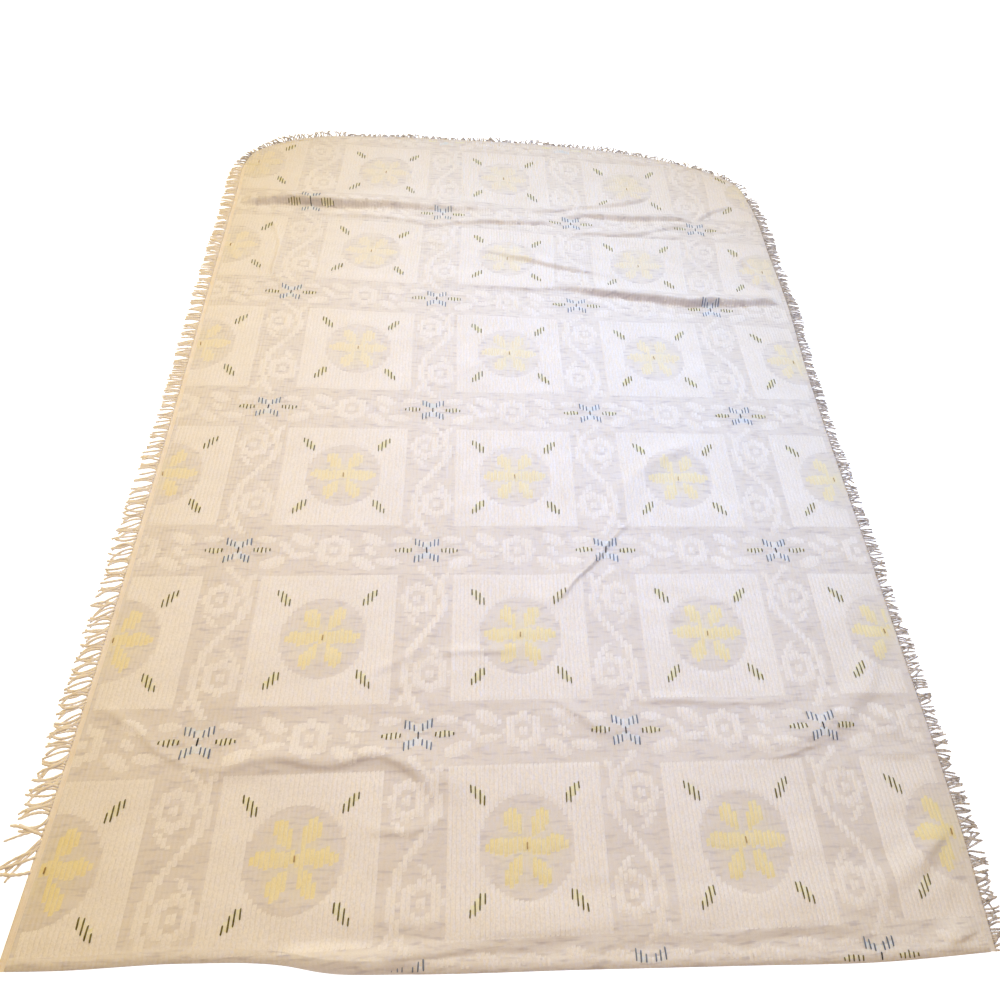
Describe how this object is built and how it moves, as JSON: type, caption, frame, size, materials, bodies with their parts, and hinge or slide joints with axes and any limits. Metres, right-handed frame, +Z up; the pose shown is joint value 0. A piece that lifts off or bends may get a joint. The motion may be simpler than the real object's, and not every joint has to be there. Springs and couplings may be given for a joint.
{
  "type": "chenille bedspread",
  "caption": "Rectangular cotton chenille bedspread laid out flat with soft folds, rounded foot corners and cord fringe along both sides and the foot",
  "frame": {"origin": "On the floor under the middle of the spread, at the bottom centre of its bounding box", "axes": "+Z up from the floor, +Y along the length towards the rounded foot end, +X across the width to the right"},
  "size_m": [1.982, 2.7454, 0.027],
  "materials": {
    "chenille": "matt ribbed cotton chenille with woven flowers, leaves and stars",
    "fringe": "matt twisted cotton cord"
  },
  "bodies": {
    "root": {"bedspread_cloth": "chenille", "fringe_left": "fringe", "fringe_foot": "fringe", "fringe_right": "fringe"}
  },
  "joints": []
}
